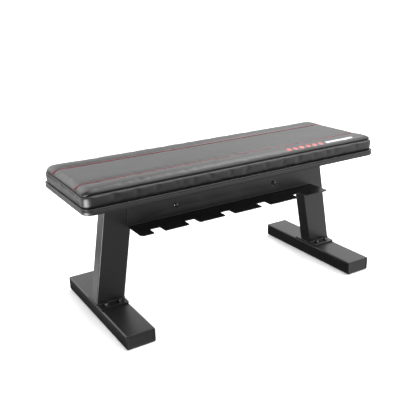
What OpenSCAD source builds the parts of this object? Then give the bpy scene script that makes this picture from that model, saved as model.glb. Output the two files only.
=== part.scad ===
// Flat weight bench with a slotted storage rack.
// A padded board is bolted to plates on top of two leaning legs, the legs are
// joined by a spine tube, and each leg is bolted to a foot that lies across the
// bench. X runs along the bench, -Y is the rack side, +Z is up, and the origin
// is on the floor under the middle of the pad. All sizes are in millimetres.

/* [Pad] */
// Height of the top of the pad above the floor
bench_h = 450; // [430:1:480]
// Length of the pad
pad_l = 1030; // [980:1:1150]
// Width of the pad
pad_w = 338; // [290:1:350]
// Radius of the pad's corners in plan
pad_r = 27; // [20:1:40]
// Thickness of the cushion above the board
cushion_t = 51; // [40:1:60]
// Radius of the roll along the cushion's long top edges
cushion_roll = 14; // [8:1:18]
// How far in from its ends the cushion's top starts to fall
cushion_fall = 90; // [40:1:120]
// Thickness of the vinyl cover
cover_t = 1.5; // [1:0.1:2.5]
// Thickness of the plywood board
board_t = 12; // [10:1:18]
// Distance between the two lengths of piping sewn into the top
piping_gap = 179; // [100:1:230]
// Diameter of the piping
piping_d = 3; // [2:0.5:4]
// Distance from the pad's end to the end of the piping
piping_end = 60; // [50:1:120]

/* [Frame tubes] */
// Wider side of the leg and spine tube
tube_w = 90; // [70:1:100]
// Narrower side of the leg and spine tube
tube_d = 45; // [40:1:50]
// Wall of every tube
tube_wall = 2.5; // [2:0.1:4]
// Radius of the tubes' outer corners
tube_r = 4.5; // [4:0.1:6]
// Angle by which each leg leans in towards the middle, from upright
leg_lean = 9.8; // [4:0.1:14]
// How far outside the foot's middle the leg's middle stands
leg_out = 1.2; // [0:0.1:3]

/* [Feet] */
// Length of a foot, end caps included
foot_l = 450; // [420:1:560]
// Width of a foot
foot_w = 89; // [86:1:100]
// Height of a foot, with the rubber grips under it
foot_h = 45; // [42:1:55]
// Distance between the middles of the two feet
foot_gap = 818; // [760:1:860]
// Thickness of the rubber grips under the feet
grip_t = 2; // [1:0.5:4]
// Thickness of an end cap's face
cap_t = 3; // [2:0.5:5]
// How far an end cap's plug reaches into the tube
cap_depth = 18; // [12:1:30]

/* [Plates] */
// Thickness of the base plates and the pad plates
plate_t = 6; // [5:0.5:8]
// Length of a base plate across the bench
base_plate_l = 106; // [100:1:130]
// Distance between the foot bolts along the bench
foot_bolt_x = 40; // [30:1:50]
// Distance between the foot bolts across the bench
foot_bolt_y = 74; // [70:1:80]
// Length of a pad plate across the bench
pad_plate_l = 220; // [180:1:240]
// Distance between the pad bolts along the bench
pad_bolt_x = 50; // [30:1:60]
// Distance between the pad bolts across the bench
pad_bolt_y = 170; // [120:1:180]

/* [Storage rack] */
// Height of the shelf's top face above the floor
shelf_h = 276; // [262:1:280]
// How far the shelf stands out from the face of the legs
shelf_d = 92; // [80:1:110]
// Length of the rack
rack_l = 698; // [660:1:710]
// How far the rack's middle is from the bench's middle
rack_shift = 12; // [0:1:14]
// Height of the upright flange above the shelf
flange_h = 67; // [50:1:80]
// Thickness of the rack's sheet
sheet_t = 3; // [2:0.5:4]
// Number of slots
slot_count = 5; // [2:1:5]
// Width of a slot
slot_w = 34; // [28:1:40]
// Depth of a slot from the shelf's front edge
slot_d = 35; // [25:1:45]
// Place of the first slot's middle
slot_first = -277; // [-285:1:-270]
// Distance from the first slot to the second
slot_pitch = 116; // [100:1:118]
// How much each following distance grows
slot_growth = 10.8; // [0:0.1:11]
// Distance between the rack's screws
rack_screw_gap = 374; // [300:1:500]
// Height of the rack's screws above the shelf
rack_screw_h = 34; // [28:1:40]

/* [Hidden] */

$fn = 64;
eps = 0.5;                       // how far a cutter runs past the face it cuts

// Pad levels, from the top down
lining_t = 1;                    // lining and turned-under wrap below the board
wrap_t = 2;                      // vinyl and wadding round the board's edge
wrap_fold = 20;                  // how far the wrap turns in below the board
board_top = bench_h - cushion_t;
board_low = board_top - board_t;
plate_top = board_low - lining_t;
frame_top = plate_top - plate_t;
roll_steps = 6;                  // slabs that round the cushion's top edge
foam_in = cover_t + piping_d;    // cover and wadding, from the outside to the foam
groove_gap = 0.1;                // air round the piping in its groove

// Frame places
foot_cx = foot_gap / 2;
foot_tube_h = foot_h - grip_t;
foot_tube_l = foot_l - 2 * cap_t;
leg_low = foot_h + plate_t;
leg_reach = tube_w / 2 / cos(leg_lean);   // half a leg's width on a level cut
function leg_cx(z) = foot_cx + leg_out - (z - leg_low) * tan(leg_lean);
spine_low = frame_top - tube_w;
grip_l = 70;                     // rubber grip along the foot
grip_w = 68;                     // rubber grip across the foot
grip_inset = 14;                 // from the foot's end to the grip

// Rack places
face_y = -tube_d / 2;            // near faces of the legs and the spine
bend_r = 3;                      // inside radius of the rack's bend
shelf_front = face_y - shelf_d;
rack_screw_z = shelf_h + rack_screw_h;
lip_r = 4;                       // radius of the slots' corners
shelf_corner_r = 9;              // radius of the shelf's outer corners
function slot_x(i) = slot_first + i * slot_pitch + slot_growth * i * (i - 1) / 2;

// Fasteners are M8
bolt_r = 4;
hole_r = 4.5;
thread_gap = 0.05;               // between a bolt and the thread it is in
nut_t = 6.5;
nut_af = 13;                     // across the flats
head_t = 5.3;
washer_t = 1.6;
washer_r = 8;
bolt_l = 20;
tee_r = 11;                      // flange of a tee nut
tee_t = 1.5;
tee_barrel_r = 5.25;

paint = [0.12, 0.12, 0.13];
vinyl = [0.16, 0.16, 0.17];

// ---- Shared shapes ----

// Rectangle with round corners, centred
module slab(l, w, r) {
    square([l - 2 * r, w], center = true);
    square([l, w - 2 * r], center = true);
    for (sx = [-1, 1], sy = [-1, 1])
        translate([sx * (l / 2 - r), sy * (w / 2 - r)]) circle(r);
}

// Section of a rectangular tube
module tube_section(a, b) {
    difference() {
        slab(a, b, tube_r);
        slab(a - 2 * tube_wall, b - 2 * tube_wall, tube_r - tube_wall);
    }
}

// The four places of a bolt pattern, centred
module at_corners(dx, dy) {
    for (sx = [-1, 1], sy = [-1, 1])
        translate([sx * dx / 2, sy * dy / 2, 0]) children();
}

// Drawn at +X, and mirrored to -X on the left side
module on_side(side) {
    if (side < 0) mirror([1, 0, 0]) children();
    else children();
}

module hexagon(af) {
    circle(r = af / 2 / cos(30), $fn = 6);
}

// Hex bolt that points down: its head stands on z = 0
module hex_bolt() {
    linear_extrude(head_t - 1) hexagon(nut_af);
    translate([0, 0, head_t - 1]) cylinder(r1 = nut_af / 2, r2 = nut_af / 2 - 1, h = 1);
    translate([0, 0, -bolt_l]) cylinder(r = bolt_r, h = bolt_l);
}

// Washer on z = 0
module washer() {
    difference() {
        cylinder(r = washer_r, h = washer_t);
        translate([0, 0, -eps]) cylinder(r = bolt_r + 0.2, h = washer_t + 2 * eps);
    }
}

// Hex nut whose top face is on z = 0
module hex_nut() {
    translate([0, 0, -nut_t]) difference() {
        linear_extrude(nut_t) hexagon(nut_af);
        translate([0, 0, -eps]) cylinder(r = bolt_r + thread_gap, h = nut_t + 2 * eps);
    }
}

// ---- Pad ----

// Cushion body, pulled in by inset on the sides and the top. Slabs follow a
// quarter ellipse over the top edge, a long one at the ends and a round one
// along the sides.
module cushion(inset, low) {
    roll = cushion_roll - inset;
    slab_t = 0.1;
    hull() {
        translate([0, 0, low]) linear_extrude(slab_t)
            slab(pad_l - 2 * inset, pad_w - 2 * inset, pad_r - inset, $fn = 32);
        for (i = [0:roll_steps]) {
            a = 90 * i / roll_steps;
            end_in = inset + cushion_fall * (1 - cos(a));
            side_in = inset + roll * (1 - cos(a));
            translate([0, 0, bench_h - cushion_roll + roll * sin(a) - slab_t])
                linear_extrude(slab_t)
                    slab(pad_l - 2 * end_in, pad_w - 2 * side_in, pad_r - side_in / 2, $fn = 32);
        }
    }
}

// Middles of the two lengths of piping, at the level of their tops
module at_piping() {
    for (s = [-1, 1]) translate([0, s * piping_gap / 2, bench_h]) children();
}

module pad_cover() {
    groove_l = pad_l - 2 * piping_end + 2 * groove_gap;
    groove_w = piping_d + 2 * groove_gap;
    color(vinyl) difference() {
        cushion(0, board_top);
        cushion(foam_in, board_top - eps);
        at_piping() cube([groove_l, groove_w, 2 * piping_d], center = true);
    }
}

module pad_foam() {
    color([0.85, 0.8, 0.6]) cushion(foam_in, board_top);
}

module pad_board() {
    color([0.72, 0.55, 0.35]) difference() {
        translate([0, 0, board_low]) linear_extrude(board_t)
            slab(pad_l - 2 * wrap_t, pad_w - 2 * wrap_t, pad_r - wrap_t);
        at_pad_bolts() {
            translate([0, 0, board_low - eps]) cylinder(r = tee_barrel_r, h = board_t + 2 * eps);
            translate([0, 0, board_top - tee_t]) cylinder(r = tee_r, h = tee_t + eps);
        }
    }
}

module pad_edge_wrap() {
    color(vinyl) {
        translate([0, 0, board_low]) linear_extrude(board_t) difference() {
            slab(pad_l, pad_w, pad_r);
            slab(pad_l - 2 * wrap_t, pad_w - 2 * wrap_t, pad_r - wrap_t);
        }
        translate([0, 0, plate_top]) linear_extrude(lining_t) difference() {
            slab(pad_l, pad_w, pad_r);
            slab(pad_l - 2 * wrap_fold, pad_w - 2 * wrap_fold, pad_r - wrap_fold / 2);
        }
    }
}

module pad_lining() {
    color([0.1, 0.1, 0.1]) translate([0, 0, plate_top]) linear_extrude(lining_t) difference() {
        slab(pad_l - 2 * wrap_fold, pad_w - 2 * wrap_fold, pad_r - wrap_fold / 2);
        at_pad_bolts() circle(hole_r);
    }
}

module pad_piping() {
    color([0.5, 0.05, 0.07]) at_piping() translate([0, 0, -piping_d / 2]) rotate([0, 90, 0])
        cylinder(d = piping_d, h = pad_l - 2 * piping_end, center = true);
}

// ---- Pad fixings ----

// Places of the pad bolts under both ends of the pad
module at_pad_bolts() {
    for (side = [-1, 1]) on_side(side) translate([leg_cx(frame_top), 0, 0])
        at_corners(pad_bolt_x, pad_bolt_y) children();
}

module pad_tee_nuts() {
    color("silver") at_pad_bolts() difference() {
        union() {
            translate([0, 0, board_top - tee_t]) cylinder(r = tee_r, h = tee_t);
            translate([0, 0, board_low + 1]) cylinder(r = tee_barrel_r, h = board_t - 1);
        }
        translate([0, 0, board_low]) cylinder(r = bolt_r + thread_gap, h = board_t + eps);
    }
}

module pad_bolts() {
    color("silver") at_pad_bolts()
        translate([0, 0, frame_top - washer_t]) mirror([0, 0, 1]) hex_bolt();
}

module pad_washers() {
    color("silver") at_pad_bolts() translate([0, 0, frame_top - washer_t]) washer();
}

module pad_plate(side) {
    color(paint) on_side(side) translate([leg_cx(frame_top), 0, frame_top])
        linear_extrude(plate_t) difference() {
            slab(2 * leg_reach, pad_plate_l, 8);
            at_corners(pad_bolt_x, pad_bolt_y) circle(hole_r);
        }
}

// ---- Welded frame ----

module spine_tube() {
    half_low = leg_cx(spine_low) - leg_reach;
    half_top = leg_cx(frame_top) - leg_reach;
    color(paint) difference() {
        intersection() {
            translate([0, 0, spine_low + tube_w / 2]) rotate([90, 0, 90])
                linear_extrude(2 * half_low + 20, center = true) tube_section(tube_d, tube_w);
            rotate([90, 0, 0]) linear_extrude(tube_d + 2, center = true)
                polygon([[-half_low, spine_low], [half_low, spine_low],
                         [half_top, frame_top], [-half_top, frame_top]]);
        }
        at_rack_screws() cylinder(r = hole_r, h = tube_wall + 1);
    }
}

module leg(side) {
    long = (frame_top - leg_low) / cos(leg_lean) + 2 * tube_w;
    color(paint) on_side(side) intersection() {
        translate([leg_cx(leg_low), 0, leg_low]) rotate([0, -leg_lean, 0])
            translate([0, 0, -tube_w]) linear_extrude(long) tube_section(tube_w, tube_d);
        translate([foot_cx - 200, -tube_d, leg_low]) cube([400, 2 * tube_d, frame_top - leg_low]);
    }
}

module base_plate(side) {
    color(paint) on_side(side) translate([foot_cx, 0, foot_h])
        linear_extrude(plate_t) difference() {
            slab(foot_w, base_plate_l, 3);
            at_corners(foot_bolt_x, foot_bolt_y) circle(hole_r);
        }
}

// ---- Feet ----

module foot(side) {
    color(paint) on_side(side) translate([foot_cx, 0, 0]) difference() {
        translate([0, 0, grip_t + foot_tube_h / 2]) rotate([90, 0, 0])
            linear_extrude(foot_tube_l, center = true) tube_section(foot_w, foot_tube_h);
        at_corners(foot_bolt_x, foot_bolt_y)
            translate([0, 0, foot_h - tube_wall - 1]) cylinder(r = hole_r, h = tube_wall + 2);
    }
}

// Plug with a face as large as the foot's section; front is -Y
module end_cap(side, end) {
    plug_w = foot_w - 2 * tube_wall;
    plug_h = foot_tube_h - 2 * tube_wall;
    plug_r = tube_r - tube_wall;
    color([0.09, 0.09, 0.09]) on_side(side)
        translate([foot_cx, end * foot_tube_l / 2, grip_t + foot_tube_h / 2])
            rotate([-90 * end, 0, 0]) {
                linear_extrude(cap_t) slab(foot_w, foot_tube_h, tube_r);
                translate([0, 0, -cap_depth]) linear_extrude(cap_depth) difference() {
                    slab(plug_w, plug_h, plug_r);
                    square([plug_w - 5, plug_h - 5], center = true);
                }
            }
}

module foot_grips(side) {
    color([0.07, 0.07, 0.07]) on_side(side) for (end = [-1, 1])
        translate([foot_cx, end * (foot_l / 2 - grip_inset - grip_l / 2), 0])
            linear_extrude(grip_t) slab(grip_w, grip_l, 6);
}

// ---- Foot fixings ----

module at_foot_bolts(side) {
    on_side(side) translate([foot_cx, 0, 0]) at_corners(foot_bolt_x, foot_bolt_y) children();
}

module foot_bolts(side) {
    color("silver") at_foot_bolts(side) translate([0, 0, leg_low + washer_t]) hex_bolt();
}

module foot_washers(side) {
    color("silver") at_foot_bolts(side) translate([0, 0, leg_low]) washer();
}

module foot_nuts(side) {
    color("silver") at_foot_bolts(side) translate([0, 0, foot_h - tube_wall]) hex_nut();
}

// ---- Storage rack ----

// Faces of the rack's screws: +Z of each place points into the spine
module at_rack_screws() {
    for (s = [-1, 1])
        translate([rack_shift + s * rack_screw_gap / 2, face_y, rack_screw_z])
            rotate([-90, 0, 0]) children();
}

// Section of the bent sheet in Y and Z, from the flange's top to the shelf's front
module rack_section() {
    out_r = bend_r + sheet_t;
    translate([face_y - sheet_t, shelf_h + bend_r]) square([sheet_t, flange_h - bend_r]);
    translate([shelf_front, shelf_h - sheet_t]) square([shelf_d - out_r, sheet_t]);
    intersection() {
        translate([face_y - out_r, shelf_h + bend_r]) difference() {
            circle(out_r);
            circle(bend_r);
        }
        translate([face_y - out_r, shelf_h - sheet_t]) square(out_r);
    }
}

// What is cut away to round a corner at the origin that lies towards +X and +Y
module corner_cut(r) {
    difference() {
        translate([-eps, -eps]) square(r + eps);
        translate([r, r]) circle(r);
    }
}

module storage_rack() {
    color(paint) difference() {
        translate([rack_shift, 0, 0]) rotate([90, 0, 90])
            linear_extrude(rack_l, center = true) rack_section();
        translate([0, 0, shelf_h - 2 * sheet_t]) linear_extrude(3 * sheet_t) {
            for (i = [0:slot_count - 1]) translate([slot_x(i), shelf_front]) {
                slab(slot_w, 2 * slot_d, lip_r);
                for (m = [0, 1]) mirror([m, 0]) translate([slot_w / 2, 0]) corner_cut(lip_r);
            }
            for (m = [0, 1]) translate([rack_shift, shelf_front]) mirror([m, 0])
                translate([-rack_l / 2, 0]) corner_cut(shelf_corner_r);
        }
        at_rack_screws() translate([0, 0, -sheet_t - 1]) cylinder(r = hole_r, h = sheet_t + 2);
    }
}

// Button head screw whose head stands on the washer
module rack_screws() {
    head_r = 7;
    head_h = 4.4;
    socket_af = 5;
    color("silver") at_rack_screws() translate([0, 0, -sheet_t - washer_t]) {
        cylinder(r = bolt_r, h = bolt_l - 4);
        mirror([0, 0, 1]) difference() {
            rotate_extrude() intersection() {
                translate([0, head_h - 9]) circle(9);
                square([head_r, head_h]);
            }
            translate([0, 0, head_h - 2.4]) linear_extrude(3) hexagon(socket_af);
        }
    }
}

module rack_washers() {
    color("silver") at_rack_screws() translate([0, 0, -sheet_t - washer_t]) washer();
}

module rack_nuts() {
    color("silver") at_rack_screws() translate([0, 0, tube_wall + nut_t]) hex_nut();
}

pad_cover();
pad_foam();
pad_board();
pad_edge_wrap();
pad_lining();
pad_piping();
pad_tee_nuts();
pad_bolts();
pad_washers();
pad_plate(-1);  // pad_plate_left
pad_plate(1);  // pad_plate_right
spine_tube();
leg(-1);  // leg_left
leg(1);  // leg_right
base_plate(-1);  // base_plate_left
base_plate(1);  // base_plate_right
foot(-1);  // foot_left
foot(1);  // foot_right
end_cap(-1, -1);  // end_cap_left_front
end_cap(-1, 1);  // end_cap_left_rear
end_cap(1, -1);  // end_cap_right_front
end_cap(1, 1);  // end_cap_right_rear
foot_grips(-1);  // foot_grips_left
foot_grips(1);  // foot_grips_right
foot_bolts(-1);  // foot_bolts_left
foot_bolts(1);  // foot_bolts_right
foot_washers(-1);  // foot_washers_left
foot_washers(1);  // foot_washers_right
foot_nuts(-1);  // foot_nuts_left
foot_nuts(1);  // foot_nuts_right
storage_rack();
rack_screws();
rack_washers();
rack_nuts();
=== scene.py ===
from math import ceil, copysign, cos, exp, pi, radians, sin, sqrt, tanh

import bmesh
import bpy
from bmesh.types import BMEdge, BMVert
from mathutils import Matrix, Vector, noise


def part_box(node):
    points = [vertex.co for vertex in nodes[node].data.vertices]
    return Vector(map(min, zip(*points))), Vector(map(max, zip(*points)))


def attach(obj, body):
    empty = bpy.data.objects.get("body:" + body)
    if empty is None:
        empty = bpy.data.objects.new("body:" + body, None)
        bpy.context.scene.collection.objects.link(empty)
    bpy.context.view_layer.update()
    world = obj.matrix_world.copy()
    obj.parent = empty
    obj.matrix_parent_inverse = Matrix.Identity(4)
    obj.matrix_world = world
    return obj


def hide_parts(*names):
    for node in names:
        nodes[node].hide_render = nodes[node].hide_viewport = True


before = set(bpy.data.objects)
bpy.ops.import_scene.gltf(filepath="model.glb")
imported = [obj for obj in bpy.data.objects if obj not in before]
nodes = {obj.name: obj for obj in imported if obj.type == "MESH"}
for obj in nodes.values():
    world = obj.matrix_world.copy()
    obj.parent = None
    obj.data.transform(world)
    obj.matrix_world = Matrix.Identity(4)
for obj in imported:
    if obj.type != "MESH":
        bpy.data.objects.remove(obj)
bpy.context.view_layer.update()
scene = bpy.context.scene
mm = 0.001


# The view, the floor and the light

viewpoint = {
    "place": (-0.998, -1.572, 0.921),
    "turn": 31.22,            # degrees, from looking along +Y towards +X
    "tilt": 19.64,            # degrees, downwards
    "lean": -1.76,            # degrees, about the line of sight
    "lens": 52.6,             # millimetres, on a sensor of the next width
    "sensor": 36,
    "farthest": 200,          # metres
}
studio = {
    "floorSize": 60,          # metres, from the middle to a side
    "floorTone": 0.86,
    "floorRoughness": 0.9,
    "floorShine": 0.2,
    "floorGlow": 0.30,        # lifts the floor to a clean white
    "backdrop": 1.1,          # what the camera sees past the floor
    "skyTone": 0.26,          # light from all round, above the floor's level
    "lowTone": 0.10,          # and below it
    "fade": (-0.25, 0.1),     # heights of the view between which the two meet
    # brighter parts of the room: direction, full and faint angle from it, strength
    "glows": [
        ((0.25, 0.80, 0.45), 32, 58, 1.4),      # behind
        ((-0.38, 0.80, 0.47), 14, 36, 1.8),     # behind, to the left
        ((0.44, -0.28, 0.85), 26, 50, 3.8),     # overhead
        ((0.90, -0.50, -0.15), 18, 46, 1.9),    # low, to the near right
    ],
    # lamps: name, place, the point it faces, width and height, power
    "softboxes": [
        ("keyBox", (1.6, 0.9, 2.6), (0, 0, 0.3), (1.8, 1.8), 30),
        ("leftCard", (-1.55, 1.15, 0.01), (-1.55, 1.15, 1), (1.2, 1.2), 13),
        ("cornerCard", (-1.45, -0.42, 0.01), (-1.45, -0.42, 1), (1.2, 0.65), 50),
        ("edgeCard", (-1.80, -0.85, 0.20), (-0.4, -0.1, 0.25), (0.5, 0.35), 9),
        ("footCard", (-0.66, 0.12, 0.004), (-0.66, 0.12, 1), (0.30, 0.9), 1.2),
    ],
}


def aimCamera(view):
    camera = bpy.data.objects.new("camera", bpy.data.cameras.new("camera"))
    camera.data.lens = view["lens"]
    camera.data.sensor_width = view["sensor"]
    camera.data.clip_end = view["farthest"]
    turn = Matrix.Rotation(radians(-view["turn"]), 4, "Z")
    tilt = Matrix.Rotation(radians(90 - view["tilt"]), 4, "X")
    lean = Matrix.Rotation(radians(view["lean"]), 4, "Z")
    camera.matrix_world = Matrix.Translation(view["place"]) @ turn @ tilt @ lean
    scene.collection.objects.link(camera)
    scene.camera = camera


# Shader maths: a Wire is an output socket, and sums on wires add Math nodes

class Wire:
    def __init__(self, sheet, socket):
        self.sheet = sheet
        self.socket = socket

    def __add__(self, other):
        return self.sheet.sum("ADD", self, other)

    def __sub__(self, other):
        return self.sheet.sum("SUBTRACT", self, other)

    def __mul__(self, other):
        return self.sheet.sum("MULTIPLY", self, other)

    def __radd__(self, other):
        return self.sheet.sum("ADD", other, self)

    def __rsub__(self, other):
        return self.sheet.sum("SUBTRACT", other, self)


class Sheet:                  # a node tree, and the one method that makes any node in it
    def __init__(self, tree):
        self.tree = tree

    def add(self, kind, settings=None, inputs=None, output=0):
        node = self.tree.nodes.new(kind)
        for name, value in (settings or {}).items():
            setattr(node, name, value)
        for name, value in (inputs or {}).items():
            self.join(value, node.inputs[name])
        return Wire(self, node.outputs[output]) if node.outputs else None

    def join(self, value, socket):
        if isinstance(value, Wire):
            self.tree.links.new(value.socket, socket)
        elif socket.type == "RGBA":
            color = value if hasattr(value, "__len__") else (value, value, value)
            socket.default_value = (*color, 1)
        else:
            socket.default_value = value

    def sum(self, operation, first, second=0.0):
        return self.add("ShaderNodeMath", {"operation": operation}, {0: first, 1: second})

    def place(self):
        return self.add("ShaderNodeTexCoord", output="Object")

    def stretch(self, place, scale, turn=(0, 0, 0)):
        return self.add("ShaderNodeMapping", None, {"Vector": place, "Scale": scale, "Rotation": turn})

    def grain(self, place, size, detail=2, roughness=0.5):
        return self.add("ShaderNodeTexNoise", None,
                        {"Vector": place, "Scale": 1 / size, "Detail": detail, "Roughness": roughness})

    def cells(self, place, size, feature="F1"):
        return self.add("ShaderNodeTexVoronoi", {"feature": feature}, {"Vector": place, "Scale": 1 / size})

    def ramp(self, value, low, high, start=0.0, end=1.0):
        return self.add("ShaderNodeMapRange", {"interpolation_type": "SMOOTHSTEP"},
                        {"Value": value, "From Min": low, "From Max": high, "To Min": start, "To Max": end})

    def blend(self, share, first, second):
        return self.add("ShaderNodeMix", {"data_type": "RGBA"}, {0: share, 6: first, 7: second}, 2)

    def parts(self, vector):
        return [self.add("ShaderNodeSeparateXYZ", None, {0: vector}, axis) for axis in range(3)]

    def bump(self, height, depth):
        return self.add("ShaderNodeBump", None, {"Height": height, "Distance": depth, "Strength": 1.0})


class Finish(Sheet):          # a material on one Principled shader
    def __init__(self, name, **fixed):
        self.material = bpy.data.materials.new(name)
        self.material.use_nodes = True
        super().__init__(self.material.node_tree)
        self.shader = self.tree.nodes["Principled BSDF"]
        self.feed(fixed)

    def feed(self, values):
        for name, value in values.items():
            self.join(value, self.shader.inputs[name])
        return self.material


def lightStudio(look):
    world = bpy.data.worlds.new("studio")
    world.use_nodes = True
    world.node_tree.nodes.clear()
    scene.world = world
    sheet = Sheet(world.node_tree)
    sight = sheet.add("ShaderNodeTexCoord", output="Generated")
    light = sheet.ramp(sheet.parts(sight)[2], *look["fade"], look["lowTone"], look["skyTone"])
    for direction, full, faint, strength in look["glows"]:
        aim = tuple(Vector(direction).normalized())
        near = sheet.add("ShaderNodeVectorMath", {"operation": "DOT_PRODUCT"},
                         {0: sight, 1: aim}, "Value")
        light = light + sheet.ramp(near, cos(radians(faint)), cos(radians(full)), 0, strength)
    glow = sheet.add("ShaderNodeBackground", None, {"Strength": light})
    clean = sheet.add("ShaderNodeBackground", None, {"Color": (1, 1, 1), "Strength": look["backdrop"]})
    direct = sheet.add("ShaderNodeLightPath", output="Is Camera Ray")
    mixed = sheet.add("ShaderNodeMixShader", None, {0: direct, 1: glow, 2: clean})
    sheet.add("ShaderNodeOutputWorld", None, {0: mixed})
    scene.view_settings.view_transform = "Standard"


def hangSoftbox(name, place, aim, size, power):
    lamp = bpy.data.lights.new(name, "AREA")
    lamp.shape = "RECTANGLE"
    lamp.size, lamp.size_y = size
    lamp.energy = power
    box = bpy.data.objects.new(name, lamp)
    scene.collection.objects.link(box)
    sight = Vector(aim) - Vector(place)
    box.matrix_world = Matrix.Translation(place) @ sight.to_track_quat("-Z", "Y").to_matrix().to_4x4()
    box.visible_camera = False


def layFloor(look):
    bm = bmesh.new()
    bmesh.ops.create_grid(bm, x_segments=1, y_segments=1, size=look["floorSize"])
    mesh = bpy.data.meshes.new("studioFloor")
    bm.to_mesh(mesh)
    bm.free()
    mesh.materials.append(Finish("paleFloor").feed({
        "Base Color": look["floorTone"],
        "Roughness": look["floorRoughness"],
        "Specular IOR Level": look["floorShine"],
        "Emission Color": 1.0,
        "Emission Strength": look["floorGlow"],
    }))
    floor = bpy.data.objects.new("studioFloor", mesh)
    scene.collection.objects.link(floor)
    floor.visible_glossy = False    # so that it doesn't wash out the dark surfaces


aimCamera(viewpoint)
lightStudio(studio)
layFloor(studio)
for softbox in studio["softboxes"]:
    hangSoftbox(*softbox)
print("studio ready")


# Driving sizes of the pad

padLow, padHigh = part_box("pad_cover")
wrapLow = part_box("pad_edge_wrap")[0]
pipingLow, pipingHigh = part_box("pad_piping")
padLength = padHigh.x - padLow.x
padWidth = padHigh.y - padLow.y
padTop = padHigh.z
boardRadius = 27 * mm         # at the board's corners
boardTop = padLow.z
pipingWidth = 3 * mm          # of the plain piping in the CAD model
pipingAt = (pipingHigh.y - pipingLow.y - pipingWidth) / 2


# Finishes

accent = {
    # a plain row of dots and a plain bar, printed on the near panel towards the right
    "line": -142 * mm,        # both stand on it, from the middle of the bench towards the front
    "start": 155 * mm,        # of the row, from the middle towards the right
    "dots": 6,
    "pitch": 25.5 * mm,
    "dotRadius": 8.0 * mm,
    "barFrom": 318 * mm,
    "barTo": 432 * mm,
    "barHeight": 10 * mm,
    "blur": 0.5 * mm,         # at the edges of the print
    "depth": 6 * mm,          # nothing lower than this under the top is printed
    "dotColor": (0.46, 0.050, 0.044),
    "barColor": (0.56, 0.56, 0.56),
}


def printAccent(skin, place, ground, look):
    along, across, up = skin.parts(place)
    blur = look["blur"]
    half = look["pitch"] / 2
    end = look["start"] + look["dots"] * look["pitch"]
    aside = across - look["line"]
    fromMiddle = half - skin.sum("PINGPONG", along - look["start"], half)
    away = skin.sum("POWER", fromMiddle * fromMiddle + aside * aside, 0.5)
    inRow = skin.sum("GREATER_THAN", along, look["start"]) * skin.sum("LESS_THAN", along, end)
    onTop = skin.sum("GREATER_THAN", up, padTop - look["depth"])
    dots = skin.ramp(away, look["dotRadius"] + blur, look["dotRadius"] - blur) * inRow * onTop
    middle = (look["barFrom"] + look["barTo"]) / 2
    halfLong = (look["barTo"] - look["barFrom"]) / 2
    halfHigh = look["barHeight"] / 2
    endwise = skin.ramp(skin.sum("ABSOLUTE", along - middle), halfLong + blur, halfLong - blur)
    sideways = skin.ramp(skin.sum("ABSOLUTE", aside), halfHigh + blur, halfHigh - blur)
    withDots = skin.blend(dots, ground, look["dotColor"])
    return skin.blend(endwise * sideways * onTop, withDots, look["barColor"])


def vinylFinish(name, mark=None):
    skin = Finish(name, **{"IOR": 1.5})
    place = skin.place()
    pebble = skin.cells(place, 1.3 * mm, "SMOOTH_F1")
    pores = skin.grain(place, 0.5 * mm, 2)
    cloud = skin.grain(place, 90 * mm, 3)
    height = pebble * 0.7 + pores * 0.3
    ground = skin.blend(cloud, (0.0055, 0.0055, 0.0060), (0.0095, 0.0095, 0.0102))
    return skin.feed({
        "Base Color": printAccent(skin, place, ground, mark) if mark else ground,
        "Roughness": 0.33 + cloud * 0.08 + pebble * 0.06,
        "Normal": skin.bump(height, 0.10 * mm),
    })


def pipingFinish():
    skin = Finish("redPiping", **{"IOR": 1.5})
    place = skin.place()
    pores = skin.grain(place, 0.5 * mm, 2)
    cloud = skin.grain(place, 30 * mm, 2)
    return skin.feed({
        "Base Color": skin.blend(cloud, (0.115, 0.006, 0.012), (0.165, 0.009, 0.016)),
        "Roughness": 0.38 + pores * 0.10,
        "Normal": skin.bump(pores, 0.06 * mm),
    })


def paintFinish():
    coat = Finish("powderCoat", **{"IOR": 1.5})
    place = coat.place()
    peel = coat.grain(place, 1.4 * mm, 2)
    speck = coat.cells(place, 0.45 * mm)
    cloud = coat.grain(place, 60 * mm, 3)
    return coat.feed({
        "Base Color": coat.blend(cloud, (0.0045, 0.0045, 0.0050), (0.0075, 0.0075, 0.0082)),
        "Roughness": 0.29 + cloud * 0.06 + speck * 0.05,
        "Normal": coat.bump(peel * 0.75 + speck * 0.25, 0.05 * mm),
    })


def capFinish():
    plastic = Finish("capPlastic", **{"IOR": 1.49})
    place = plastic.place()
    spark = plastic.grain(place, 0.35 * mm, 3)
    cloud = plastic.grain(place, 25 * mm, 2)
    return plastic.feed({
        "Base Color": plastic.blend(cloud, (0.007, 0.007, 0.0073), (0.012, 0.012, 0.0125)),
        "Roughness": 0.46 + spark * 0.12,
        "Normal": plastic.bump(spark, 0.07 * mm),
    })


def rubberFinish():
    rubber = Finish("gripRubber", **{"IOR": 1.47})
    place = rubber.place()
    dust = rubber.grain(place, 12 * mm, 4)
    pores = rubber.grain(place, 0.4 * mm, 2)
    return rubber.feed({
        "Base Color": rubber.blend(dust, (0.010, 0.010, 0.010), (0.030, 0.029, 0.028)),
        "Roughness": 0.72 + dust * 0.16,
        "Normal": rubber.bump(pores, 0.08 * mm),
    })


def zincFinish(name, low, high, rough):
    plate = Finish(name, **{"Metallic": 1.0})
    place = plate.place()
    cloud = plate.grain(place, 3 * mm, 3)
    brushed = plate.grain(place, 0.25 * mm, 2)
    return plate.feed({
        "Base Color": plate.blend(cloud, low, high),
        "Roughness": rough + cloud * 0.12,
        "Normal": plate.bump(brushed, 0.015 * mm),
    })


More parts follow.
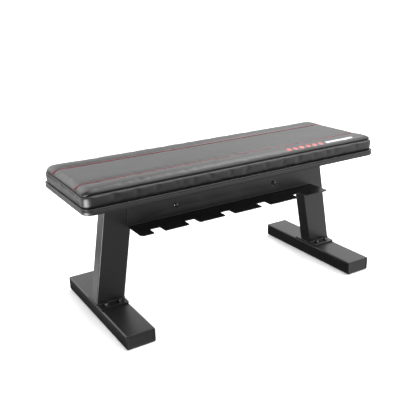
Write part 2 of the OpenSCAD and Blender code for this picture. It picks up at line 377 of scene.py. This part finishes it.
def plyFinish():
    wood = Finish("bareBirch", **{"IOR": 1.45})
    place = wood.place()
    up = wood.parts(place)[2]
    ply = wood.ramp(wood.sum("PINGPONG", up, 1.7 * mm), 0.7 * mm, 1.0 * mm)
    veins = wood.grain(wood.stretch(place, (0.12, 1, 1)), 7 * mm, 5, 0.6)
    tone = wood.blend(veins, (0.36, 0.22, 0.11), (0.60, 0.42, 0.24))
    return wood.feed({
        "Base Color": wood.blend(ply * 0.35, tone, (0.20, 0.11, 0.05)),
        "Roughness": 0.62 + veins * 0.2,
        "Normal": wood.bump(veins, 0.2 * mm),
    })


def foamFinish():
    foam = Finish("creamFoam", **{"IOR": 1.4})
    place = foam.place()
    bubble = foam.cells(place, 0.9 * mm)
    cloud = foam.grain(place, 40 * mm, 3)
    return foam.feed({
        "Base Color": foam.blend(cloud, (0.62, 0.55, 0.33), (0.74, 0.68, 0.44)),
        "Roughness": 0.88 + bubble * 0.1,
        "Normal": foam.bump(bubble, 0.35 * mm),
    })


def liningFinish():
    felt = Finish("blackFelt", **{"IOR": 1.45})
    place = felt.place()
    dots = felt.ramp(felt.cells(felt.stretch(place, (1, 1, 0.05)), 2.6 * mm), 0.10, 0.35)
    fibre = felt.grain(felt.stretch(place, (1, 3, 1)), 0.7 * mm, 3)
    return felt.feed({
        "Base Color": felt.blend(fibre, (0.008, 0.008, 0.009), (0.024, 0.024, 0.025)),
        "Roughness": 0.84 + fibre * 0.12,
        "Normal": felt.bump(dots * 0.7 + fibre * 0.3, 0.12 * mm),
    })


def threadFinish(name, low, high):
    thread = Finish(name, **{"IOR": 1.5})
    place = thread.place()
    twist = thread.grain(thread.stretch(place, (1, 1, 1), (0.6, 0.5, 0.8)), 0.35 * mm, 1)
    return thread.feed({
        "Base Color": thread.blend(twist, low, high),
        "Roughness": 0.55 + twist * 0.2,
        "Normal": thread.bump(twist, 0.05 * mm),
    })


finishes = {
    "vinyl": vinylFinish("grainedVinyl"),
    "red_piping": pipingFinish(),
    "frame_paint": paintFinish(),
    "cap_plastic": capFinish(),
    "grip_rubber": rubberFinish(),
    "zinc": zincFinish("brightZinc", (0.50, 0.50, 0.48), (0.66, 0.66, 0.63), 0.26),
    "black_zinc": zincFinish("blackZinc", (0.10, 0.10, 0.105), (0.18, 0.18, 0.19), 0.16),
    "plywood": plyFinish(),
    "foam": foamFinish(),
    "lining": liningFinish(),
}
printedVinyl = vinylFinish("printedVinyl", accent)
greyThread = threadFinish("greyThread", (0.10, 0.10, 0.105), (0.20, 0.20, 0.21))
print("finishes ready")


# Mesh helpers

def clamp(share):             # to between 0 and 1
    return min(1.0, max(0.0, share))


def pick(geometry, kind):     # the vertices or the edges out of a mixed list
    return [item for item in geometry if isinstance(item, kind)]


def keepPiece(bm, name, slot, replaced=(), finish=None, sharpAngle=35):
    mesh = bpy.data.meshes.new(name)
    bm.to_mesh(mesh)
    bm.free()
    mesh.shade_smooth()
    mesh.set_sharp_from_angle(angle=radians(sharpAngle))
    mesh.materials.append(finish or finishes[slot])
    piece = bpy.data.objects.new(name, mesh)
    scene.collection.objects.link(piece)
    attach(piece, "root")
    if replaced:
        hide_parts(*replaced)
    return piece


def roundOutline(length, width, radius, spacing, middle=(0, 0), height=0.0):
    # stations round a rectangle with round corners: place, outward direction, upward direction
    stations = []
    up = Vector((0, 0, 1))
    halfL, halfW = length / 2 - radius, width / 2 - radius
    turns = max(3, ceil(radius * pi / 2 / spacing))    # steps in each corner
    for corner, (signX, signY) in enumerate(((1, 1), (-1, 1), (-1, -1), (1, -1))):
        centre = Vector((middle[0] + signX * halfL, middle[1] + signY * halfW, height))
        for step in range(turns + 1):
            angle = pi / 2 * (corner + step / turns)
            out = Vector((cos(angle), sin(angle), 0))
            stations.append((centre + out * radius, out, up))
        side = 2 * (halfL if corner % 2 == 0 else halfW)
        run = Vector((-out.y, out.x, 0))
        start = centre + out * radius
        steps = max(1, round(side / spacing))
        stations += [(start + run * side * i / steps, out, up) for i in range(1, steps)]
    return stations


def sweepRing(bm, stations, section, swell=lambda station: 1.0):
    # carries a closed section round a closed row of stations; section points are (outward, upward)
    number = bm.verts.layers.int.new("station")

    def settle(verts, point):
        for vert in verts:
            place, out, up = stations[vert[number]]
            vert.co = place + (out * point[0] + up * point[1]) * swell(vert[number])

    ring = bmesh.ops.create_circle(bm, segments=len(stations), radius=1)["verts"]
    for i, vert in enumerate(ring):
        vert[number] = i
    settle(ring, section[0])
    first = edges = list({edge for vert in ring for edge in vert.link_edges})
    for point in section[1:]:
        grown = bmesh.ops.extrude_edge_only(bm, edges=edges)["geom"]
        edges = pick(grown, BMEdge)
        settle(pick(grown, BMVert), point)
    bmesh.ops.bridge_loops(bm, edges=edges + first)
    bmesh.ops.recalc_face_normals(bm, faces=bm.faces)


def roundSection(radius, sides, out=0.0, up=0.0):
    angles = [2 * pi * i / sides for i in range(sides)]
    return [(out + radius * cos(angle), up + radius * sin(angle)) for angle in angles]


def stackLoops(bm, loops):
    # joins closed rows of points one after another, and closes both ends
    number = bm.verts.layers.int.get("turn") or bm.verts.layers.int.new("turn")
    ring = bmesh.ops.create_circle(bm, segments=len(loops[0]), radius=1, cap_ends=True)["verts"]
    for i, vert in enumerate(ring):
        vert[number] = i
        vert.co = loops[0][i]
    edges = list({edge for vert in ring for edge in vert.link_edges})
    for loop in loops[1:]:
        grown = bmesh.ops.extrude_edge_only(bm, edges=edges)["geom"]
        edges = pick(grown, BMEdge)
        for vert in pick(grown, BMVert):
            vert.co = loop[vert[number]]
    bmesh.ops.contextual_create(bm, geom=edges)


def sweepBar(bm, path, side, radius, sides):
    # a round bar along an open path that stays square to the side direction, closed at both ends
    angles = [2 * pi * turn / sides for turn in range(sides)]
    loops = []
    for i, point in enumerate(path):
        ahead = path[min(i + 1, len(path) - 1)]
        behind = path[max(i - 1, 0)]
        normal = side.cross(ahead - behind).normalized()
        loops.append([point + (normal * cos(angle) + side * sin(angle)) * radius for angle in angles])
    stackLoops(bm, loops)


def addCopy(bm, part, matrix):
    # adds a small part again, at another place
    mesh = bpy.data.meshes.new("copy")
    part.to_mesh(mesh)
    mesh.transform(matrix)
    bm.from_mesh(mesh)
    bpy.data.meshes.remove(mesh)


def pieceName(node):          # foot_bolts_left gives footBoltsLeft
    first, *rest = node.split("_")
    return first + "".join(part.title() for part in rest)


def softenNode(name, width, flattest=2, sharpest=50):
    # a copy of a CAD node with its loose triangles joined and its sharp edges rounded
    bm = bmesh.new()
    bm.from_mesh(nodes[name].data)
    bmesh.ops.remove_doubles(bm, verts=bm.verts, dist=0.01 * mm)
    bmesh.ops.dissolve_limit(bm, angle_limit=radians(flattest), verts=bm.verts, edges=bm.edges)
    solid = [edge for edge in bm.edges if edge.is_manifold]
    sharp = [edge for edge in solid if edge.calc_face_angle(0) > radians(sharpest)]
    bmesh.ops.bevel(bm, geom=sharp, offset=width, offset_type="OFFSET", segments=2, profile=0.5,
                    affect="EDGES", material=-1, clamp_overlap=True)
    return keepPiece(bm, pieceName(name), nodes[name].data.materials[0].name, [name], sharpAngle=20)


# The pad

cushion = {
    "cornerRadius": 35 * mm,
    "seamInset": 10.0 * mm,   # from the outline of the board to the top seam, along the sides
    "endOut": 6.0 * mm,       # how much further out the top reaches at the ends
    "endDrop": 5.0 * mm,      # how much lower the top seam lies there
    "leftLean": 2.0 * mm,     # lower still at the left end's near corner, and higher at its far one
    "endShare": 0.35,         # how much of the side's profile is left at the ends
    "topRise": 9.3 * mm,      # from the top seam to the flat of the top
    "endFall": 34 * mm,       # how far in from an end the top starts to fall
    "sideRoll": 9 * mm,       # the same along the long sides
    "crown": 1.0 * mm,        # how much the middle of the top rises
    "lobe": 2.6 * mm,         # how much the outer panels puff up
    "grooveDepth": 1.6 * mm,  # beside the piping
    "grooveWidth": 2.6 * mm,
    "endBow": 3.5 * mm,       # how far the ends pull in between the corners
    "sideBow": 2.0 * mm,      # and the long sides
    "endReach": 60 * mm,      # how far in from an end that pull is felt
    "sideReach": 50 * mm,     # and from a long side
    "bowStart": 2 * mm,       # the pull starts at this height above the board
    "bowGrowth": 10 * mm,     # and is whole after this much more
    "step": 6 * mm,           # between rows of vertices, which lie closer near the seams:
    "endRows": (1.2, 3.2, 6, 10),               # millimetres in from an end's seam
    "sideRows": (1.2, 3.2, 6, 10, 14),          # in from a side's seam
    "pipingRows": (-5, -2.4, 0, 2.4, 5),        # either side of the piping
    # rings down the side, below the top seam: inset and height above the board in millimetres, sewn or not
    "rings": [
        (14.0, 41.2, True), (14.2, 38.5, True), (11.0, 38.4, True), (8.5, 38.6, True),
        (6.0, 38.2, False), (4.5, 36.6, False), (3.8, 34.2, False), (3.6, 31.0, False),
        (4.0, 27.0, False), (4.6, 21.5, False), (5.2, 16.0, False), (5.8, 11.6, False),
        (6.4, 8.6, False), (8.2, 6.6, True), (9.0, 4.2, True), (9.0, 0.2, True),
    ],
}
puff = {
    "pressure": 4.0,
    "mass": 0.3,
    "stretchStiffness": 20,
    "bendStiffness": 2.0,
    "slack": 0.006,           # how much longer than its shape the vinyl is cut, as a share
    "quality": 6,
    "frames": 20,
    "cap": 1.7 * mm,          # no point moves further than this
}
crease = {
    "depth": 0.9 * mm,        # of the drag lines on the end bands
    "pitch": 7 * mm,
    "length": 60 * mm,
    "slant": 0.8,             # sideways for each unit of height
    "low": 0.12,              # where they start, as a share of the height of the side
    "span": 0.6,              # and the share they cover
    "endFrom": 30 * mm,       # they start this far in from an end
    "endFade": 20 * mm,       # and are whole after this much more
    "waver": 0.25 * mm,       # unevenness of the top
    "waverLong": 55 * mm,
    "waverWide": 40 * mm,
    "topLevel": 0.8,          # the top starts at this share of the height
}


def quarterRound(distance, reach):    # 0 at the seam, level from reach inwards
    return sqrt(1 - (1 - clamp(distance / reach)) ** 2)


def loopPlaces(half, step, tight):
    # places from -half to half, closer near the ends and at the tight places
    marks = sorted({0.0, half, *tight})
    places = []
    for low, high in zip(marks, marks[1:]):
        count = max(1, round((high - low) / step))
        places += [low + (high - low) * i / count for i in range(count)]
    places.append(half)
    return [-place for place in reversed(places[1:])] + places


def endDropAt(look, x, y):
    lean = look["leftLean"] if x < 0 else 0
    return look["endDrop"] - lean * y / (padWidth / 2)


def topHeight(look, x, y):
    halfL = padLength / 2 - look["seamInset"] + look["endOut"]
    halfW = padWidth / 2 - look["seamInset"]
    rise = quarterRound(halfL - abs(x), look["endFall"]) * quarterRound(halfW - abs(y), look["sideRoll"])
    outer = clamp((abs(y) - pipingAt) / (halfW - pipingAt))
    crown = look["crown"] * (1 - (y / halfW) ** 2) + look["lobe"] * sin(pi * outer)
    groove = look["grooveDepth"] * exp(-((abs(y) - pipingAt) / look["grooveWidth"]) ** 2)
    endwise = clamp(1 - (halfL - abs(x)) / look["endFall"])
    seam = padTop - look["topRise"] - endDropAt(look, x, y) * endwise ** 2
    return seam + rise * (padTop + crown - groove - seam)


def pullIn(look, point):
    # the sides draw in between the corners, less towards the board
    lift = clamp((point.z - boardTop - look["bowStart"]) / look["bowGrowth"])
    alongEnd = cos(pi / 2 * clamp(abs(point.y) / (padWidth / 2)))
    alongSide = cos(pi / 2 * clamp(abs(point.x) / (padLength / 2)))
    nearEnd = clamp((abs(point.x) - padLength / 2 + look["endReach"]) / look["endReach"])
    nearSide = clamp((abs(point.y) - padWidth / 2 + look["sideReach"]) / look["sideReach"])
    point.x -= copysign(look["endBow"] * alongEnd * nearEnd * lift, point.x)
    point.y -= copysign(look["sideBow"] * alongSide ** 0.5 * nearSide * lift, point.y)


def buildCushion(look, shrink=0.0, step=None):
    # returns the mesh and the numbers of the vertices that seams hold
    step = step or look["step"]
    inset = look["seamInset"] + shrink
    radius = look["cornerRadius"] - inset
    halfL = padLength / 2 - inset + look["endOut"]
    halfW = padWidth / 2 - inset
    tightX = [halfL - gap * mm for gap in (*look["endRows"], radius / mm)]
    tightY = [halfW - gap * mm for gap in (*look["sideRows"], radius / mm)]
    tightY += [pipingAt + gap * mm for gap in look["pipingRows"]]
    placesX = loopPlaces(halfL, step, tightX)
    placesY = loopPlaces(halfW, step, tightY)
    bm = bmesh.new()
    sewn = bm.verts.layers.int.new("sewn")
    outline = bm.verts.layers.float_vector.new("outline")
    outward = bm.verts.layers.float_vector.new("outward")
    bmesh.ops.create_grid(bm, x_segments=len(placesX) - 1, y_segments=len(placesY) - 1, size=1)
    for vert in bm.verts:
        x = placesX[round((vert.co.x + 1) / 2 * (len(placesX) - 1))]
        y = placesY[round((vert.co.y + 1) / 2 * (len(placesY) - 1))]
        z = topHeight(look, x, y) - shrink
        vert[sewn] = vert.is_boundary or abs(abs(y) - pipingAt) < 0.1 * mm
        # the corner squares bend into quarter discs
        pastX = (abs(x) - halfL + radius) / radius
        pastY = (abs(y) - halfW + radius) / radius
        if halfL - abs(x) < halfW - abs(y):
            out = Vector((copysign(1, x), 0, 0))
        else:
            out = Vector((0, copysign(1, y), 0))
        if pastX > 0 and pastY > 0:
            out = Vector((pastX * sqrt(1 - pastY ** 2 / 2), pastY * sqrt(1 - pastX ** 2 / 2), 0))
            x = copysign(halfL - radius + radius * out.x, x)
            y = copysign(halfW - radius + radius * out.y, y)
            out = Vector((copysign(out.x, x), copysign(out.y, y), 0)).normalized()
        vert.co = (x, y, z)
        if vert.is_boundary:
            vert[outline] = (x, y, 0)
            vert[outward] = out
    edges = [edge for edge in bm.edges if edge.is_boundary]
    seamHeight = padTop - boardTop - look["topRise"]
    for ringInset, height, held in look["rings"]:
        grown = bmesh.ops.extrude_edge_only(bm, edges=edges)["geom"]
        edges = pick(grown, BMEdge)
        high = min(height * mm, seamHeight) * (1 - shrink / seamHeight)
        upper = clamp((high - seamHeight / 2) / (seamHeight / 2))
        for vert in pick(grown, BMVert):
            endness = vert[outward].x ** 2
            share = 1 if ringInset * mm > look["seamInset"] else 1 - endness * (1 - look["endShare"])
            vert.co = vert[outline] - vert[outward] * (ringInset * mm - look["seamInset"]) * share
            vert.co.z = boardTop + high - endDropAt(look, vert.co.x, vert.co.y) * endness * upper
            vert[sewn] = held
    base = bmesh.ops.contextual_create(bm, geom=edges)["faces"]
    bmesh.ops.triangulate(bm, faces=base)
    bmesh.ops.recalc_face_normals(bm, faces=bm.faces)
    for vert in bm.verts:
        pullIn(look, vert.co)
    bm.verts.index_update()
    return bm, [vert.index for vert in bm.verts if vert[sewn]]


def puffCushion(piece, look, held):
    # air pressure under the vinyl, with the seams held still
    mesh = piece.data
    before = [vert.co.copy() for vert in mesh.vertices]
    group = piece.vertex_groups.new(name="seams")
    group.add(held, 1.0, "REPLACE")
    cloth = piece.modifiers.new("puff", "CLOTH")
    cloth.settings.quality = look["quality"]
    cloth.settings.mass = look["mass"]
    cloth.settings.tension_stiffness = look["stretchStiffness"]
    cloth.settings.compression_stiffness = look["stretchStiffness"]
    cloth.settings.bending_stiffness = look["bendStiffness"]
    cloth.settings.use_pressure = True
    cloth.settings.uniform_pressure_force = look["pressure"]
    cloth.settings.shrink_min = -look["slack"]
    cloth.settings.vertex_group_mass = "seams"
    cloth.settings.effector_weights.gravity = 0
    cloth.point_cache.frame_start = 1
    cloth.point_cache.frame_end = look["frames"]
    for number in range(1, look["frames"] + 1):
        scene.frame_set(number)
    bpy.context.view_layer.objects.active = piece
    bpy.ops.object.modifier_apply(modifier="puff")
    scene.frame_set(1)
    cap = look["cap"]
    reach = 0.0
    for vert, start in zip(piece.data.vertices, before):
        move = vert.co - start
        reach = max(reach, move.length)
        if move.length > 0:
            vert.co = start + move.normalized() * cap * tanh(move.length / cap)
    piece.vertex_groups.clear()
    print("cushion puffed, furthest", round(reach / mm, 2), "mm")


def creaseCushion(piece, look):
    # slanting drag lines on the end bands, and slight unevenness on the top
    for vert in piece.data.vertices:
        place = vert.co
        level = (place.z - boardTop) / (padTop - boardTop)
        onBand = max(0.0, sin(pi * clamp((level - look["low"]) / look["span"])))
        atEnd = clamp((abs(place.x) - padLength / 2 + look["endFrom"]) / look["endFade"])
        slant = place.y - copysign(look["slant"], place.y) * (place.z - boardTop)
        apart = copysign(4.7, place.x)    # so that the two ends differ
        line = noise.noise(Vector((slant / look["pitch"], place.z / look["length"], apart)))
        swell = noise.noise(Vector((place.x / look["waverLong"], place.y / look["waverWide"], 2.3)))
        place.x += copysign(look["depth"] * line * onBand * atEnd, place.x)
        if level > look["topLevel"]:
            place.z += look["waver"] * swell


def makeCushion(look):
    bm, held = buildCushion(look)
    piece = keepPiece(bm, "padCover", "vinyl", ["pad_cover"], printedVinyl, sharpAngle=180)
    puffCushion(piece, puff, held)
    creaseCushion(piece, crease)
    smoother = piece.modifiers.new("smoother", "SUBSURF")
    smoother.levels = smoother.render_levels = 1
    return piece


makeCushion(cushion)

foamBlock = {
    "shrink": 4.5 * mm,       # how much smaller than the cover, all round
    "step": 14 * mm,          # between rows of vertices
}


def makeFoam(look):
    bm = buildCushion(cushion, look["shrink"], look["step"])[0]
    return keepPiece(bm, "padFoam", "foam", ["pad_foam"], sharpAngle=180)


makeFoam(foamBlock)

piping = {
    "radius": 1.9 * mm,
    "sides": 10,
    "step": 4 * mm,
    "rise": 0.9 * mm,         # how far its middle stands above the groove's bottom
    "endGap": 1.0 * mm,       # between its end and the seam
}


def makePiping(look):
    bm = bmesh.new()
    reach = padLength / 2 - cushion["seamInset"] + cushion["endOut"] - look["endGap"]
    steps = round(2 * reach / look["step"])
    for side in (-1, 1):
        path = []
        for i in range(steps + 1):
            # closer stations where the top drops at the ends
            along = 2 * i / steps - 1
            x = reach * sin(pi / 2 * along) * 0.5 + reach * along * 0.5
            point = Vector((x, side * pipingAt, topHeight(cushion, x, side * pipingAt) + look["rise"]))
            pullIn(cushion, point)
            path.append(point)
        sweepBar(bm, path, Vector((0, 1, 0)), look["radius"], look["sides"])
    bmesh.ops.recalc_face_normals(bm, faces=bm.faces)
    return keepPiece(bm, "redPipings", "red_piping", ["pad_piping"], sharpAngle=60)


makePiping(piping)

welt = {
    "radius": 2.0 * mm,
    "inset": 1.1 * mm,        # of its middle, from the outline of the board
    "height": 3.0 * mm,       # above the board
    "sides": 12,
    "spacing": 5 * mm,
    "stitchLength": 3.0 * mm,
    "stitchPitch": 4.4 * mm,
    "stitchRadius": 0.42 * mm,
    "stitchInset": 3.6 * mm,
    "stitchHeight": 4.7 * mm,
}


def makeWelt(look):
    bm = bmesh.new()
    stations = roundOutline(padLength, padWidth, boardRadius, look["spacing"], height=boardTop)
    section = roundSection(look["radius"], look["sides"], -look["inset"], look["height"])
    sweepRing(bm, stations, section)
    return keepPiece(bm, "baseWelt", "vinyl", sharpAngle=60)


def makeStitches(look):
    bm = bmesh.new()
    inset = look["stitchInset"]
    stations = roundOutline(padLength - 2 * inset, padWidth - 2 * inset, boardRadius - inset,
                            look["stitchPitch"], height=boardTop + look["stitchHeight"])
    stitch = bmesh.new()
    bmesh.ops.create_uvsphere(stitch, u_segments=6, v_segments=4, radius=1)
    for i, (place, _, up) in enumerate(stations):
        ahead = stations[(i + 1) % len(stations)][0]
        run = (ahead - place).normalized()
        turn = Matrix((run, up.cross(run), up)).transposed().to_4x4()
        scale = Matrix.Diagonal((look["stitchLength"] / 2, look["stitchRadius"], look["stitchRadius"], 1))
        addCopy(bm, stitch, Matrix.Translation((place + ahead) / 2) @ turn @ scale)
    stitch.free()
    return keepPiece(bm, "weltStitches", "vinyl", finish=greyThread, sharpAngle=180)


makeWelt(welt)
makeStitches(welt)

wrap = {
    # round the board's edge: inset and height above the pad's underside, in millimetres
    "section": [
        (17.0, 14.3), (5.0, 14.6), (2.6, 14.2), (1.2, 13.0), (0.3, 11.4), (0.0, 9.6), (0.0, 6.8),
        (0.0, 4.0), (0.5, 2.2), (1.6, 0.9), (3.2, 0.2), (6.0, 0.0), (13.0, 0.0), (20.0, 0.0),
        (20.6, 0.5), (20.0, 1.0), (13.0, 1.0), (4.2, 1.0), (2.4, 2.4), (2.0, 6.0), (2.0, 11.4),
        (3.0, 12.8), (5.0, 13.3), (17.0, 13.3),
    ],
    "spacing": 5 * mm,
    "staplePitch": 38 * mm,
    "stapleInset": 13 * mm,
    "stapleLength": 10 * mm,
    "stapleWire": 1.1 * mm,
    "stapleFlatness": 0.6,    # height of the wire for its width
    "stapleRound": 0.15 * mm,
    "stapleLean": 14,         # degrees at most, from square to the edge
}


def makeEdgeWrap(look):
    bm = bmesh.new()
    stations = roundOutline(padLength, padWidth, boardRadius, look["spacing"], height=wrapLow.z)
    sweepRing(bm, stations, [(-inset * mm, height * mm) for inset, height in look["section"]])
    return keepPiece(bm, "boardEdgeWrap", "vinyl", ["pad_edge_wrap"], sharpAngle=60)


def makeStaples(look):
    bm = bmesh.new()
    inset = look["stapleInset"]
    stations = roundOutline(padLength - 2 * inset, padWidth - 2 * inset, boardRadius - inset,
                            look["staplePitch"], height=wrapLow.z)
    for i, (place, out, up) in enumerate(stations):
        lean = radians(look["stapleLean"] * sin(2.7 * i))
        turn = Matrix.Rotation(lean, 4, "Z") @ Matrix((up.cross(out), out, up)).transposed().to_4x4()
        thickness = look["stapleWire"] * look["stapleFlatness"]
        size = Matrix.Diagonal((look["stapleLength"], look["stapleWire"], thickness, 1))
        bmesh.ops.create_cube(bm, size=1, matrix=Matrix.Translation(place) @ turn @ size)
    bmesh.ops.bevel(bm, geom=bm.edges[:], offset=look["stapleRound"], offset_type="OFFSET", segments=1,
                    profile=0.5, affect="EDGES", material=-1)
    return keepPiece(bm, "wrapStaples", "zinc")


makeEdgeWrap(wrap)
makeStaples(wrap)
print("pad ready")


# The lining under the board

lining = {
    "sag": 1.5 * mm,
    "thickness": 0.7 * mm,
    "step": 12 * mm,          # between rows of vertices
    "edgeHold": 110 * mm,     # the sag is whole this far from the edges
    "plateHold": 60 * mm,     # and this far from the plates
    "wrinkle": 0.35 * mm,
    "wrinkleLong": 22 * mm,
    "wrinkleWide": 45 * mm,
    "wrinkleStart": 20 * mm,  # wrinkles are whole this far from the plates
}


def makeLining(look):
    low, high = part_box("pad_lining")
    plateLow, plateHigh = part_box("pad_plate_right")
    span = high - low
    columns, rows = round(span.x / look["step"]), round(span.y / look["step"])
    bm = bmesh.new()
    bmesh.ops.create_grid(bm, x_segments=columns, y_segments=rows, size=0.5)
    for vert in bm.verts:
        x, y = vert.co.x * span.x, vert.co.y * span.y
        toEdge = min(high.x - abs(x), high.y - abs(y))
        toPlate = max(plateLow.x - abs(x), abs(x) - plateHigh.x, abs(y) - plateHigh.y)
        free = clamp(min(toEdge / look["edgeHold"], toPlate / look["plateHold"]))
        sag = look["sag"] * sin(pi / 2 * free)
        pull = noise.noise(Vector((x / look["wrinkleLong"], y / look["wrinkleWide"], 0.4)))
        wrinkle = look["wrinkle"] * abs(pull * clamp(toPlate / look["wrinkleStart"]))
        vert.co = (x, y, high.z - look["thickness"] - sag - wrinkle)
    back = bmesh.ops.extrude_face_region(bm, geom=bm.faces[:])["geom"]
    bmesh.ops.translate(bm, vec=(0, 0, look["thickness"]), verts=pick(back, BMVert))
    bmesh.ops.recalc_face_normals(bm, faces=bm.faces)
    return keepPiece(bm, "padLining", "lining", ["pad_lining"], sharpAngle=60)


makeLining(lining)


# The frame: rounded sheet and plate edges, welds and end caps

softened = {
    # how wide the rounding of each node's edges is
    "storage_rack": 0.5 * mm,
    "base_plate_left": 0.8 * mm,
    "base_plate_right": 0.8 * mm,
    "pad_plate_left": 0.8 * mm,
    "pad_plate_right": 0.8 * mm,
    "foot_bolts_left": 0.3 * mm,
    "foot_bolts_right": 0.3 * mm,
    "foot_grips_left": 0.5 * mm,
    "foot_grips_right": 0.5 * mm,
    "rack_screws": 0.2 * mm,
}
for name, width in softened.items():
    softenNode(name, width)

weld = {
    "radius": 2.4 * mm,
    "sides": 8,
    "spacing": 1.1 * mm,      # between stations
    "ripple": 0.16,           # share of the radius
    "rippleTurns": 4,         # stations in one ripple
    "legRadius": 4.5 * mm,    # at the leg's corners
}


def makeWelds(look):
    def swell(station):
        return 1 + look["ripple"] * sin(2 * pi * station / look["rippleTurns"])

    bm = bmesh.new()
    section = roundSection(look["radius"], look["sides"])
    for side in ("left", "right"):
        low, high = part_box("leg_" + side)
        plateLow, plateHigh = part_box("pad_plate_" + side)
        reach = plateHigh.x - plateLow.x
        away = copysign(1, low.x)
        topMiddle = (plateLow.x + plateHigh.x) / 2
        # the leg's outer lower corner lies at the far side of its box
        footMiddle = (low.x if away < 0 else high.x) - away * reach / 2
        for middle, height in ((footMiddle, low.z), (topMiddle, high.z)):
            stations = roundOutline(reach, high.y - low.y, look["legRadius"], look["spacing"],
                                    (middle, 0), height)
            sweepRing(bm, stations, section, swell)
    return keepPiece(bm, "legWelds", "frame_paint", sharpAngle=180)


makeWelds(weld)

endCap = {
    "cornerRadius": 4.5 * mm,
    "leastRadius": 0.6 * mm,
    "spacing": 1.0,           # so wide that only the corners get stations
    # inset from the tube's outline and distance out from its end, in millimetres, hollow plug first
    "section": [
        (5.2, -1.0), (5.2, -17.6), (4.9, -18.0), (3.6, -18.0), (3.2, -17.2), (2.7, -14.0),
        (2.7, 0.02), (0.4, 0.02), (0.0, 0.35), (0.0, 1.5), (0.25, 2.2), (0.8, 2.75),
        (1.5, 3.0), (5.0, 3.0), (5.5, 2.85), (5.9, 2.3), (6.4, 2.15), (9.0, 2.15),
    ],
}


def makeEndCap(side, end, look):
    node = "end_cap_%s_%s" % (side, end)
    low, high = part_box(node)
    footLow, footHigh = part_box("foot_" + side)
    away = -1 if end == "front" else 1
    tubeEnd = footLow.y if away < 0 else footHigh.y
    middle = (low + high) / 2
    loops = []
    for inset, outward in look["section"]:
        radius = max(look["cornerRadius"] - inset * mm, look["leastRadius"])
        width = high.x - low.x - 2 * inset * mm
        height = high.z - low.z - 2 * inset * mm
        outline = roundOutline(width, height, radius, look["spacing"])
        y = tubeEnd + away * outward * mm
        loops.append([Vector((middle.x + place.x, y, middle.z + place.y)) for place, _, _ in outline])
    bm = bmesh.new()
    stackLoops(bm, loops)
    bmesh.ops.recalc_face_normals(bm, faces=bm.faces)
    return keepPiece(bm, pieceName(node), "cap_plastic", [node], sharpAngle=50)


for side in ("left", "right"):
    for end in ("front", "rear"):
        makeEndCap(side, end, endCap)
print("frame ready")


# Everything that keeps its CAD shape takes its finish from the name of its slot

for node in nodes.values():
    if node.data.materials and node.data.materials[0].name in finishes:
        node.data.materials[0] = finishes[node.data.materials[0].name]
